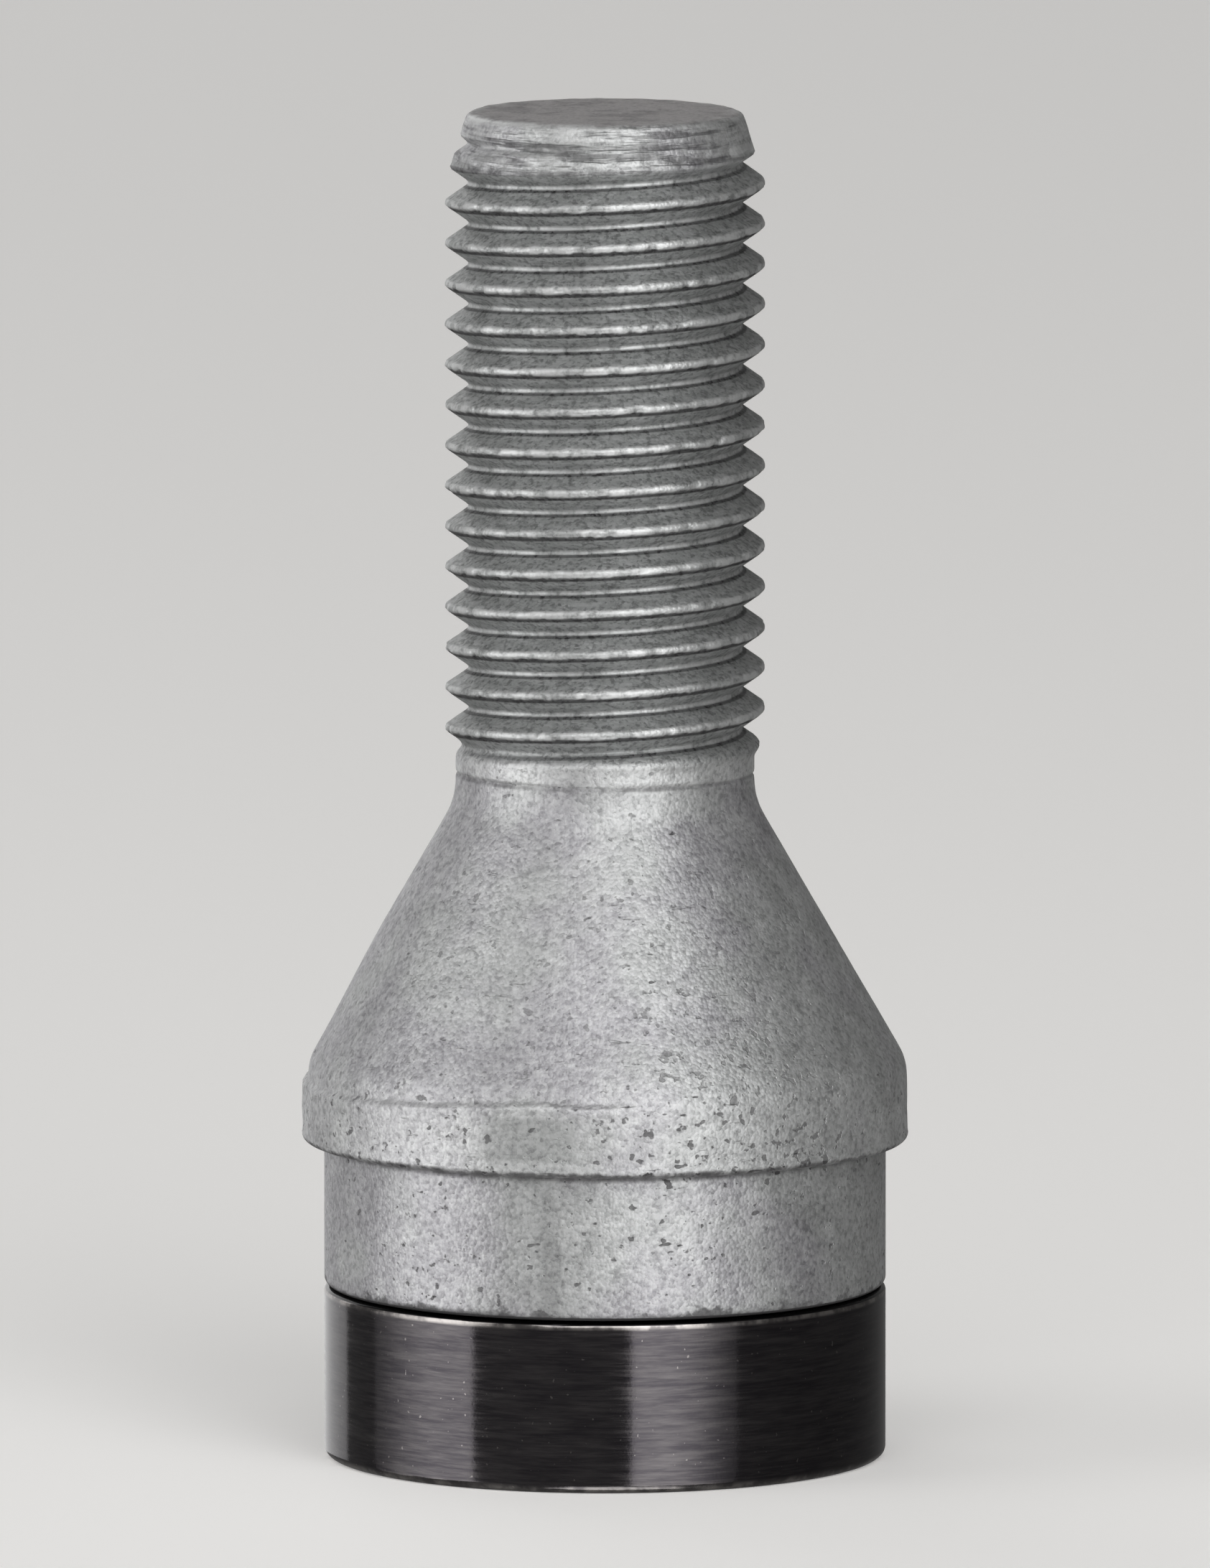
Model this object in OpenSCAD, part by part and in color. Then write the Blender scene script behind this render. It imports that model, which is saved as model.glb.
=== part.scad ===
// Locking wheel bolt with a cone seat and a collar that spins on its head.
// It stands on its head: z = 0 is the collar's end face, and the thread points up.
// Millimetres. The fine pitch of the thread is left off: the shank is its outside diameter.

/* [Thread] */
// Outside diameter of the thread
thread_d = 11.85; // [9.85:0.05:15.85]
// Length from the end of the neck to the tip
thread_len = 23.3; // [12:0.1:40]
// How far the tip's chamfer cuts in, on the radius
tip_inset = 0.85; // [0.4:0.05:1.5]
// Length of the tip's chamfer
tip_len = 2.0; // [1:0.1:4]

/* [Neck and seat] */
// How far the neck is under the thread, on the radius
neck_inset = 0.4; // [0.2:0.05:0.9]
// Length of the neck
neck_len = 2.2; // [1.4:0.1:5]
// Radius of the fillet between neck and seat
neck_fillet = 3.5; // [0.5:0.1:6]
// Included angle of the cone seat
seat_angle = 60; // [50:1:80]

/* [Head] */
// Diameter of the head and of the collar
head_d = 20.8; // [19.6:0.1:21.8]
// Height of the plain band of the head
band_h = 5.4; // [2:0.1:10]
// How far the flange stands out from the head, on the radius
flange_step = 0.85; // [0.3:0.05:2]
// Height of the flange
flange_h = 2.8; // [1.5:0.1:6]
// Radius of the edge between flange and seat
flange_round = 2.0; // [0.4:0.1:3]
// Radius of the band's edge at the collar
band_round = 0.3; // [0.1:0.05:0.6]

/* [Collar] */
// Height of the collar
collar_h = 6.35; // [5:0.05:10]
// Thickness of the collar's wall at its mouth, where the key goes in
collar_wall = 2.4; // [1.8:0.1:3]
// Edge break at the collar's end face
collar_edge = 0.35; // [0.1:0.05:0.8]
// Edge break at the collar's seam with the head
seam_edge = 0.2; // [0.1:0.05:0.5]
// Height of the lip inside the collar that holds it on
lip_h = 2.0; // [1:0.1:3]
// How far the lip stands in from the mouth, on the radius
lip_depth = 0.95; // [0.5:0.05:1.3]

/* [Running gaps] */
// Gap between the lip and its journal, on the radius
run_gap = 0.05; // [0.02:0.01:0.1]
// Gap at each face of the lip, along the axis
end_gap = 0.05; // [0.02:0.01:0.2]
// Gap between the rolled rim and the mouth's wall, on the radius
rim_gap = 0.15; // [0.05:0.05:0.3]

/* [Key pattern] */
// Mean width of the groove between the collar's mouth and the wavy boss
groove_w = 3.2; // [2.2:0.1:4.2]
// Height of the waves over and under the mean, on the radius
wave_h = 0.6; // [0.2:0.05:0.8]
// How far the boss lies below the collar's end face
boss_drop = 0.15; // [0:0.05:1]
// Height of the rim that is rolled out over the collar's lip
rim_h = 0.9; // [0.5:0.1:1.6]
// Chamfer at the boss's end
boss_edge = 0.3; // [0.1:0.05:0.5]

/* [Hidden] */
// Steps round the key pattern, and the turn that one step of a fillet covers
wave_steps = 144;
fillet_turn = 12;
$fn = 96;

// Radii
thread_r = thread_d / 2;
neck_r = thread_r - neck_inset;
tip_r = thread_r - tip_inset;
head_r = head_d / 2;
flange_r = head_r + flange_step;
mouth_r = head_r - collar_wall;
lip_r = mouth_r - lip_depth;
journal_r = lip_r - run_gap;
rim_r = mouth_r - rim_gap;
boss_r = mouth_r - groove_w;

// Heights above the collar's end face
lip_z = collar_h - lip_h;
rim_top_z = lip_z - end_gap;
floor_z = rim_top_z - rim_h;
band_z = collar_h + end_gap;
flange_z = band_z + band_h;
seat_z = flange_z + flange_h;
neck_z = seat_z + (flange_r - neck_r) / tan(seat_angle / 2);
thread_z = neck_z + neck_len;
tip_z = thread_z + thread_len;

// Three uneven sets of waves make an outline that repeats nowhere round the boss
function wave(angle) =
    0.55 * cos(7 * angle + 25) + 0.30 * cos(4 * angle - 40) + 0.15 * cos(2 * angle + 70);
function boss_outline() = [
    for (i = [0 : wave_steps - 1])
        let (angle = 360 * i / wave_steps, r = boss_r + wave_h * wave(angle))
            [r * cos(angle), r * sin(angle)]
];

function unit(v) = v / norm(v);
function turned(v, angle) = [
    v.x * cos(angle) - v.y * sin(angle),
    v.x * sin(angle) + v.y * cos(angle)
];

// Points that round the corner p of an outline between its neighbours a and b
function corner(a, p, b, radius) =
    radius == 0 ? [p] :
    let (
        to_a = unit(a - p),
        to_b = unit(b - p),
        half = acos(to_a * to_b) / 2,
        // A fillet uses up no more than half of the shorter side beside it
        r = min(radius, 0.49 * min(norm(a - p), norm(b - p)) * tan(half)),
        centre = p + unit(to_a + to_b) * r / sin(half),
        first = p + to_a * r / tan(half) - centre,
        turn = 180 - 2 * half,
        side = cross(to_a, to_b) > 0 ? -1 : 1,
        steps = ceil(turn / fillet_turn)
    )
    [for (i = [0 : steps]) centre + turned(first, side * turn * i / steps)];

// An outline of [radius, height, fillet] corners with each fillet drawn in
function rounded(c) = [
    for (i = [0 : len(c) - 1])
        let (
            a = c[(i + len(c) - 1) % len(c)],
            p = c[i],
            b = c[(i + 1) % len(c)]
        )
        each corner([a.x, a.y], [p.x, p.y], [b.x, b.y], p.z)
];

module turned_solid(corners) {
    rotate_extrude()
        polygon(rounded(corners));
}

// Head, seat, neck and shank, turned as one piece with the rim rolled over the collar's lip
module forging() {
    turned_solid([
        [0, floor_z, 0],
        [rim_r, floor_z, 0.4 * rim_h],
        [rim_r, rim_top_z, 0],
        [journal_r, rim_top_z, 0],
        [journal_r, band_z, 0],
        [head_r, band_z, band_round],
        [head_r, flange_z, 0],
        [flange_r, flange_z, band_round],
        [flange_r, seat_z, flange_round],
        [neck_r, neck_z, neck_fillet],
        [neck_r, thread_z, 0],
        [thread_r, thread_z + neck_inset, 0],
        [thread_r, tip_z - tip_len, 0],
        [tip_r, tip_z, 0.5 * tip_inset],
        [0, tip_z, 0]
    ]);
}

// Wavy boss that the key grips, with its end chamfered as if turned first
module key_boss() {
    blank_r = boss_r + wave_h;
    intersection() {
        translate([0, 0, boss_drop])
            linear_extrude(height = floor_z - boss_drop + rim_h / 2)
                polygon(boss_outline());
        turned_solid([
            [0, boss_drop, 0],
            [blank_r - boss_edge, boss_drop, 0],
            [blank_r, boss_drop + boss_edge, 0],
            [blank_r, floor_z + rim_h, 0],
            [0, floor_z + rim_h, 0]
        ]);
    }
}

module bolt() {
    color([0.66, 0.68, 0.67])
        union() {
            forging();
            key_boss();
        }
}

// Ring that spins freely on the head, so that nothing can grip the bolt by it
module collar() {
    color([0.07, 0.07, 0.08])
        turned_solid([
            [mouth_r, 0, 0.5 * collar_edge],
            [head_r, 0, collar_edge],
            [head_r, collar_h, seam_edge],
            [lip_r, collar_h, 0],
            [lip_r, lip_z, 0],
            [mouth_r, lip_z, 0]
        ]);
}

bolt();
collar();
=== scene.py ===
"""A locking wheel bolt: one forging with a rolled thread and a cone seat, and a dark collar that
spins on its head. The bolt stands on the collar's end, so the thread points up. Metres."""

import math

import bmesh
import bpy
from bpy.props import FloatProperty, FloatVectorProperty, IntProperty, PointerProperty
from mathutils import Matrix, Vector, noise


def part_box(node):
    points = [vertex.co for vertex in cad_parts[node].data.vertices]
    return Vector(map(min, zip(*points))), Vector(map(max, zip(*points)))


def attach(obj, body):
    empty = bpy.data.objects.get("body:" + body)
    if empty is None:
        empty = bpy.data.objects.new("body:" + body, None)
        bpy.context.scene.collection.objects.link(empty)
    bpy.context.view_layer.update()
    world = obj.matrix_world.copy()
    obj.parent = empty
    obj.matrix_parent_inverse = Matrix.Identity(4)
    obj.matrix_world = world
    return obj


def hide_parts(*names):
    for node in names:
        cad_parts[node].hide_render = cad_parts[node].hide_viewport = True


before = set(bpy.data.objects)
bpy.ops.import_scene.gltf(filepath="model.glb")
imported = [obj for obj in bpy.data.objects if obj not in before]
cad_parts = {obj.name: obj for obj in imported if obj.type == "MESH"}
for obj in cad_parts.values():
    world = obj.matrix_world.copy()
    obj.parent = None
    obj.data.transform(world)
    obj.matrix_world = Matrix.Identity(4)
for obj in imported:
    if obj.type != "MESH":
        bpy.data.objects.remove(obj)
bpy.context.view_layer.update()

bl_info = {
    "name": "Locking Wheel Bolt",
    "version": (1, 0, 0),
    "blender": (4, 5, 0),
    "location": "View3D > Sidebar > Wheel Bolt",
    "description": "Builds a zinc-flaked locking wheel bolt with a spinning collar and a studio",
    "category": "Object",
}

MM = 0.001
TIP_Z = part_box("bolt")[1].z
FLANGE_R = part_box("bolt")[1].x
HEAD_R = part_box("collar")[1].x
COLLAR_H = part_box("collar")[1].z

# Points closer than this are one, and edges sharper than this stay sharp
WELD = 0.001 * MM
SHARP = math.radians(62)

# Widest gaps between rows of points: on the head, the land under the thread, tip and collar
HEAD_GAP = 0.13 * MM
LAND_GAP = 0.07 * MM
TIP_GAP = 0.3 * MM
COLLAR_GAP = 0.35 * MM

# Key end: rows on the boss's end and wall, its soft corner, its foot, and the rim's edge
END_ROWS = 14
WALL_ROWS = 7
BOSS_SOFT = 0.12 * MM
BOSS_FOOT = 0.25 * MM
RIM_ROUND = 0.36 * MM

# Flat crest and flank of a tooth, as shares of half a pitch, and its blend into the tip's end
CREST_SHARE = 0.125
FLANK_SHARE = 0.80
TIP_BLEND = 0.9 * MM

# Fold that the forging left over the flange, and the heights where its unevenness dies out
FOLD_TURN = math.radians(205)
FOLD_DEPTH = 0.20 * MM
EVEN_Z = (23 * MM, 25 * MM)

# Turned line on the land: its height over the corner of cone and neck, its width and its depth
LINE_UP = 0.94 * MM
LINE_W = 0.07 * MM
LINE_DEPTH = 0.07 * MM

# Dents: their depth and size on the tip, and their depth along the collar's edges
TIP_DENT = 0.05 * MM
TIP_DENT_SIZE = 0.6 * MM
COLLAR_DENT = 0.03 * MM

# Radii over which the thread's crests are painted bright, as rubbed coat with a painted highlight,
# and its roots with a painted highlight
CREST_RUB_AND_HIGHLIGHT = (5.77 * MM, 5.88 * MM)
ROOT_HIGHLIGHT = (5.06 * MM, 5.14 * MM)

# Marks on the front: a dull patch, a drip that fades upwards, and a pitted place
DULL_X = (-4.3 * MM, -1.2 * MM)
DULL_Z = (12.5 * MM, 13.9 * MM)
DRIP_X = (-2.2 * MM, -1.8 * MM)
DRIP_FADE = (9.0 * MM, 11.3 * MM)
PITTED_AT = (4.8 * MM, -10.0 * MM, 13.4 * MM)
PITTED_REACH = (1.5 * MM, 6.5 * MM)

# Depth of the finest relief on the coat and on the collar, and the shade in the collar's seam
COAT_RELIEF = 0.042 * MM
CHROME_RELIEF = 0.004 * MM
SEAM_SHADE = (0.01, 0.01, 0.01)

# Warm white of floor and room, how bright the camera sees them, and how a tall lamp fades
WARM_WHITE = (1.0, 0.99, 0.975, 1.0)
FLOOR_GLOW = 0.26
ROOM_SEEN = 0.84
FADE_START = 0.30
FADE_LEFT = 0.12


def length(name, description, default):
    """A length that the panel shows, in metres."""
    return FloatProperty(
        name=name, description=description, default=default, min=0, subtype="DISTANCE", precision=5
    )


def angle(name, description, degrees):
    """An angle that is written in degrees and kept in radians."""
    return FloatProperty(
        name=name, description=description, default=math.radians(degrees), subtype="ANGLE"
    )


def colour(name, description, default):
    """A colour that the panel shows, in linear values."""
    return FloatVectorProperty(
        name=name, description=description, default=default, size=3, min=0, max=1, subtype="COLOR"
    )


def power(name, description, default):
    """The power of a lamp, in watts."""
    return FloatProperty(name=name, description=description, default=default, unit="POWER")


class ThreadSizes(bpy.types.PropertyGroup):
    major_r: length("Outside radius", "Radius over the crests of the thread", 5.925 * MM)
    depth: length("Tooth depth", "Height of a tooth from root to crest", 0.86 * MM)
    pitch: length("Pitch", "Distance from one crest to the next", 1.5 * MM)
    start_z: length("Start", "Height at which the thread begins over the neck", 25.95 * MM)
    end_z: length("End", "Height at which the thread has died out at the tip", 49.60 * MM)
    run_out: length("Run-out", "Length over which the thread fades into the neck", 1.0 * MM)
    tip_taper: length("Tip taper", "Length over which the crests grow from the tip", 2.6 * MM)
    nick: length("Nicks", "Depth of the nicks along the crests", 0.11 * MM)
    phase: FloatProperty(
        name="Phase", description="Share of a turn by which the crests are shifted", default=0.202
    )
    steps: IntProperty(name="Steps a turn", description="Columns round one turn", default=200)
    rows: IntProperty(name="Rows a pitch", description="Rows from one root to the next", default=16)
    seed: FloatProperty(name="Wear seed", description="Picks the pattern of the nicks", default=4.0)


class HeadSizes(bpy.types.PropertyGroup):
    neck_r: length("Neck radius", "Radius of the neck under the thread", 5.525 * MM)
    neck_z: length("Neck height", "Height at which cone and neck would meet", 24.516 * MM)
    neck_fillet: length("Neck fillet", "Radius between the neck and the cone", 3.5 * MM)
    seat_z: length("Seat height", "Height at which flange and cone would meet", 14.6 * MM)
    flange_z: length("Flange height", "Height of the flange's lower edge", 11.8 * MM)
    flange_round: length("Flange edge", "Radius between the flange and the cone", 2.0 * MM)
    band_z: length("Band height", "Height of the band's lower edge", 6.4 * MM)
    band_round: length("Band edge", "Radius of the band's edges", 0.3 * MM)
    tip_r: length("Tip radius", "Radius of the tip before its edge is rounded", 5.075 * MM)
    tip_round: length("Tip edge", "Radius of the tip's edge", 0.425 * MM)
    journal_r: length("Journal radius", "Radius that the collar turns on", 7.0 * MM)
    rim_r: length("Rim radius", "Radius of the rim rolled over the collar's lip", 7.85 * MM)
    rim_z: length("Rim height", "Height of the rolled rim's upper face", 4.3 * MM)
    floor_z: length("Groove floor", "Height of the floor of the key groove", 3.4 * MM)
    hammering: length("Hammering", "Depth of the forged flange's unevenness", 0.10 * MM)


class KeySizes(bpy.types.PropertyGroup):
    boss_r: length("Boss radius", "Mean radius of the wavy key boss", 4.8 * MM)
    wave_h: length("Wave height", "Height of the waves over the mean radius", 0.6 * MM)
    boss_drop: length("Boss drop", "How far the boss ends inside the collar", 0.15 * MM)
    boss_edge: length("Boss chamfer", "Chamfer at the end of the boss", 0.3 * MM)


class CollarSizes(bpy.types.PropertyGroup):
    mouth_r: length("Mouth radius", "Radius of the collar's open mouth", 8.0 * MM)
    lip_r: length("Lip radius", "Radius of the lip that holds the collar on", 7.05 * MM)
    lip_z: length("Lip height", "Height of the lip's lower face", 4.35 * MM)
    end_edge: length("End edge", "Edge break at the collar's end", 0.35 * MM)
    seam_edge: length("Seam edge", "Edge break at the collar's seam with the head", 0.2 * MM)
    steps: IntProperty(name="Steps round", description="Columns round the collar", default=288)


class FinishColours(bpy.types.PropertyGroup):
    zinc: colour("Zinc flake", "Plain colour of the zinc flake coat", (0.50, 0.508, 0.508))
    zinc_cool: colour("Cool zinc", "Patches of the coat that lean to purple", (0.45, 0.445, 0.465))
    # Rubbed zinc is also the colour of the painted highlights on the thread, the tip and the
    # flange's edge
    zinc_rubbed_and_highlit: colour("Rubbed zinc", "Coat rubbed bright along edges", (0.73, 0.738, 0.735))
    # The specks' colour is also that of the painted shade in the crease, the seam, the turned line,
    # the thread and the tip's rings
    soot_and_shade: colour("Specks", "Dark specks and dirt on the coat", (0.055, 0.053, 0.055))
    flank: colour("Thread flank", "Thread flanks with a film of oil", (0.33, 0.34, 0.335))
    tip: colour("Tip face", "Sheared face of the tip", (0.40, 0.385, 0.385))
    chrome: colour("Black chrome", "Plain colour of the dark collar", (0.050, 0.046, 0.052))
    # Rubbed chrome is also the colour of the painted glints and the painted highlight on the
    # collar's edges
    chrome_rubbed_and_highlit: colour("Rubbed chrome", "Collar rubbed bright along edges", (0.50, 0.47, 0.45))
    floor: colour("Floor", "Pale floor that the bolt stands on", (0.80, 0.79, 0.775))


class StudioSettings(bpy.types.PropertyGroup):
    elevation: angle("Camera height", "Angle of the camera over the horizon", 7.2)
    distance: length("Camera distance", "Distance from the camera to the bolt", 1.1)
    frame_h: length("Frame height", "Height of the picture at the bolt", 58.0 * MM)
    floor_r: length("Floor radius", "Radius of the round floor", 1.2)
    room: FloatProperty(
        name="Room", description="Light that comes from the plain room", default=0.14
    )
    left_lamp: power("Left lamp", "Power of the tall lamp on the left", 2.1)
    right_lamp: power("Right lamp", "Power of the tall lamp on the right", 2.2)
    back_lamp: power("Back lamp", "Power of the weak lamp behind", 2.9)
    top_lamp: power("Top lamp", "Power of the lamp over the bolt", 3.4)
    low_lamp: power("Low lamp", "Power of the lamp that lights the key end", 1.2)


class WheelBolt(bpy.types.PropertyGroup):
    thread: PointerProperty(type=ThreadSizes)
    head: PointerProperty(type=HeadSizes)
    key: PointerProperty(type=KeySizes)
    collar: PointerProperty(type=CollarSizes)
    colours: PointerProperty(type=FinishColours)
    studio: PointerProperty(type=StudioSettings)


class Link:
    """An output socket on which arithmetic adds Math nodes."""

    def __init__(self, nodes, socket):
        self.nodes = nodes
        self.socket = socket

    def out(self, name):
        """Another output of the same node."""
        return Link(self.nodes, self.socket.node.outputs[name])

    def math(self, operation, *values):
        """A Math node on these values, in their order."""
        return self.nodes.add("ShaderNodeMath", {"operation": operation}, dict(enumerate(values)))

    def __add__(self, other):
        return self.math("ADD", self, other)

    __radd__ = __add__

    def __sub__(self, other):
        return self.math("SUBTRACT", self, other)

    def __rsub__(self, other):
        return self.math("SUBTRACT", other, self)

    def __mul__(self, other):
        return self.math("MULTIPLY", self, other)

    __rmul__ = __mul__

    def __truediv__(self, other):
        return self.math("DIVIDE", self, other)

    def __rtruediv__(self, other):
        return self.math("DIVIDE", other, self)

    def __mod__(self, other):
        return self.math("MODULO", self, other)

    def floor(self):
        return self.math("FLOOR", self)

    def fract(self):
        return self.math("FRACT", self)

    def absolute(self):
        return self.math("ABSOLUTE", self)

    def least(self, other):
        return self.math("MINIMUM", self, other)

    def most(self, other):
        return self.math("MAXIMUM", self, other)


class Nodes:
    """Adds nodes to one tree."""

    def __init__(self, tree):
        self.tree = tree
        tree.nodes.clear()

    def add(self, kind, settings=None, inputs=None, out=0):
        """A node of this kind: its settings first, then the values or links of its sockets."""
        node = self.tree.nodes.new(kind)
        for name, value in (settings or {}).items():
            setattr(node, name, value)
        for name, value in (inputs or {}).items():
            if isinstance(value, Link):
                self.tree.links.new(value.socket, node.inputs[name])
            else:
                node.inputs[name].default_value = value
        return Link(self, node.outputs[out]) if len(node.outputs) else node

    def rise(self, value, low, high, start=0.0, end=1.0):
        """A soft step from start to end, as the value goes from low to high."""
        limits = {0: value, "From Min": low, "From Max": high, "To Min": start, "To Max": end}
        return self.add("ShaderNodeMapRange", {"interpolation_type": "SMOOTHSTEP"}, limits)

    def fall(self, value, low, high):
        """A soft step from 1 to 0, as the value goes from low to high."""
        return 1 - self.rise(value, low, high)

    def clouds(self, place, size, detail=2.0, rough=0.5):
        """Noise about its middle value of 0.5, with patches of this size in metres."""
        inputs = {"Vector": place, "Scale": 1 / size, "Detail": detail, "Roughness": rough}
        return self.add("ShaderNodeTexNoise", inputs=inputs)

    def streaks(self, place, times, size, detail=2.0, rough=0.5):
        """The same noise, this many times finer in height than it is round the bolt."""
        return self.clouds(self.stretched(place, (1, 1, times)), size, detail, rough)

    def mix(self, share, under, over):
        """Under where the share is 0, over where it is 1."""
        inputs = {0: share, 6: under, 7: over}
        return self.add("ShaderNodeMix", {"data_type": "RGBA"}, inputs, out=2)

    def near(self, place, spot, inner, outer):
        """1 within the inner distance of a spot, falling to 0 at the outer one."""
        away = self.add("ShaderNodeVectorMath", {"operation": "DISTANCE"}, {0: place, 1: spot})
        return self.fall(away.out("Value"), inner, outer)

    def between(self, value, low, high, soft):
        """1 between two limits, with soft edges outside them."""
        return self.rise(value, low - soft, low) * self.fall(value, high, high + soft)

    def stretched(self, place, factors):
        """Coordinates multiplied along each axis."""
        settings = {"operation": "MULTIPLY"}
        return self.add("ShaderNodeVectorMath", settings, {0: place, 1: factors})


def smooth(value, low, high):
    """The soft step of Nodes.rise, for plain numbers."""
    t = min(max((value - low) / (high - low), 0.0), 1.0)
    return t * t * (3 - 2 * t)


def rgba(value):
    """A colour as a socket takes it, with full alpha."""
    return (*value, 1.0)


def rounded(corners, ring=False, turn=math.radians(9)):
    """Points of an outline of (radius, height, fillet) corners, with each fillet drawn in."""
    points = []
    for i, (r, z, fillet) in enumerate(corners):
        p = Vector((r, z))
        if not fillet or (not ring and i in (0, len(corners) - 1)):
            points.append(p)
            continue
        to_a = Vector(corners[i - 1][:2]) - p
        to_b = Vector(corners[(i + 1) % len(corners)][:2]) - p
        shorter = min(to_a.length, to_b.length)
        to_a.normalize()
        to_b.normalize()
        half = to_a.angle(to_b) / 2
        size = min(fillet, 0.49 * shorter * math.tan(half))
        centre = p + (to_a + to_b).normalized() * size / math.sin(half)
        first = p + to_a * size / math.tan(half) - centre
        whole = math.pi - 2 * half
        side = -1 if to_a.cross(to_b) > 0 else 1
        count = math.ceil(whole / turn)
        for k in range(count + 1):
            points.append(centre + Matrix.Rotation(side * whole * k / count, 2) @ first)
    return points


def spaced(points, gap):
    """The same outline with further points, so that none are more than gap apart."""
    filled = [points[0]]
    for a, b in zip(points, points[1:]):
        count = max(1, math.ceil((b - a).length / gap))
        filled += [a.lerp(b, k / count) for k in range(1, count + 1)]
    return filled


def skin(name, rows, steps, place, first_pole=None, last_pole=None, ring=False):
    """A mesh of rows round the axis, where place gives the point of a row at an angle."""
    turns = [2 * math.pi * i / steps for i in range(steps)]
    points = [place(row, turn) for row in rows for turn in turns]
    pairs = [(k, k + 1) for k in range(len(rows) - 1)]
    if ring:
        pairs.append((len(rows) - 1, 0))
    faces = [
        (a * steps + i, a * steps + (i + 1) % steps, b * steps + (i + 1) % steps, b * steps + i)
        for a, b in pairs
        for i in range(steps)
    ]
    for pole, row in ((first_pole, 0), (last_pole, len(rows) - 1)):
        if pole is not None:
            points.append(pole)
            at = len(points) - 1
            faces += [(at, row * steps + (i + 1) % steps, row * steps + i) for i in range(steps)]
    mesh = bpy.data.meshes.new(name)
    mesh.from_pydata(points, [], faces)
    return mesh


def joined(name, meshes, material):
    """One closed mesh from several that share their border rows."""
    bm = bmesh.new()
    for mesh in meshes:
        bm.from_mesh(mesh)
        bpy.data.meshes.remove(mesh)
    bmesh.ops.remove_doubles(bm, verts=bm.verts, dist=WELD)
    bmesh.ops.recalc_face_normals(bm, faces=bm.faces)
    open_edges = [edge for edge in bm.edges if len(edge.link_faces) != 2]
    if open_edges:
        at = open_edges[0].verts[0].co
        raise RuntimeError(f"{name} has {len(open_edges)} open edges, the first at {at}")
    mesh = bpy.data.meshes.new(name)
    bm.to_mesh(mesh)
    triangles = sum(len(face.verts) - 2 for face in bm.faces)
    volume = bm.calc_volume(signed=True) / MM**3
    bm.free()
    print(f"{name}: {triangles} triangles, {volume:.1f} cubic millimetres")
    mesh.materials.append(material)
    for face in mesh.polygons:
        face.material_index = 0
    mesh.shade_smooth()
    mesh.set_sharp_from_angle(angle=SHARP)
    piece = bpy.data.objects.new(name, mesh)
    bpy.context.scene.collection.objects.link(piece)
    return piece


def tip_line(bolt):
    """The tip's outline from the end of the thread to the middle of its face."""
    head = bolt.head
    thread = bolt.thread
    share = (TIP_Z - thread.end_z) / thread.tip_taper
    end_r = head.tip_r + (thread.major_r - head.tip_r) * share
    return rounded([(end_r, thread.end_z, 0), (head.tip_r, TIP_Z, head.tip_round), (0, TIP_Z, 0)])


def key_wave(turn):
    """Three uneven sets of waves that repeat nowhere round the boss."""
    return (
        0.55 * math.cos(7 * turn + math.radians(25))
        + 0.30 * math.cos(4 * turn - math.radians(40))
        + 0.15 * math.cos(2 * turn + math.radians(70))
    )


def boss_rows(bolt):
    """Rows (added radius, share of the wavy outline, cut of that outline, height) of the boss."""
    key = bolt.key
    floor_z = bolt.head.floor_z
    blank_r = key.boss_r + key.wave_h
    end_r = blank_r - key.boss_edge
    top = key.boss_drop
    soft = BOSS_SOFT

    # The boss's flat end with its soft corner, then its chamfer
    rows = [(0, k / END_ROWS, end_r, top) for k in range(1, END_ROWS)]
    rows += [(-soft, 1, end_r, top), (-0.3 * soft, 1, end_r, top + 0.3 * soft)]
    rows += [(0, 1, end_r + t * key.boss_edge, top + soft + t * key.boss_edge) for t in (0, 0.5, 1)]

    # Its wall, its foot, and the floor of the groove out to the rim
    foot_z = floor_z - BOSS_FOOT
    wall = foot_z - (top + soft + key.boss_edge)
    rows += [(0, 1, blank_r, foot_z - wall * (1 - k / WALL_ROWS)) for k in range(1, WALL_ROWS + 1)]
    rows += [(0.07 * MM, 1, blank_r, floor_z - 0.07 * MM), (BOSS_FOOT, 1, blank_r, floor_z)]
    edge_r = bolt.head.rim_r - RIM_ROUND
    rows += [(t * edge_r, 1 - t, blank_r, floor_z) for t in (0.25, 0.5, 0.75)]
    return rows


def head_rows(bolt):
    """Rows of the turned part of the head, from the rolled rim up to the thread."""
    head = bolt.head
    thread = bolt.thread
    corners = [
        (head.rim_r - 0.5 * MM, head.floor_z, 0),
        (head.rim_r, head.floor_z, RIM_ROUND),
        (head.rim_r, head.rim_z, 0.05 * MM),
        (head.journal_r, head.rim_z, 0),
        (head.journal_r, head.band_z, 0),
        (HEAD_R, head.band_z, head.band_round),
        (HEAD_R, head.flange_z, 0.08 * MM),
        (FLANGE_R, head.flange_z, head.band_round),
        (FLANGE_R, head.seat_z, head.flange_round),
        (head.neck_r, head.neck_z, head.neck_fillet),
        (head.neck_r, thread.start_z, 0),
    ]
    line = spaced(rounded(corners, turn=math.radians(7)), HEAD_GAP)

    # Every row round the fold and on the land, and every second one elsewhere
    fold_low = head.seat_z - 1.2 * MM
    fold_high = fold_low + 1.8 * MM
    land_low = head.neck_z + 0.75 * MM
    below = [p for p in line if p.y < fold_low]
    fold = [p for p in line if fold_low <= p.y < fold_high]
    cone = [p for p in line if fold_high <= p.y < land_low]
    land = spaced([p for p in line if p.y >= land_low], LAND_GAP)
    return [(p.x, 0, 0, p.y) for p in below[::2] + fold + cone[::2] + land]


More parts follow.
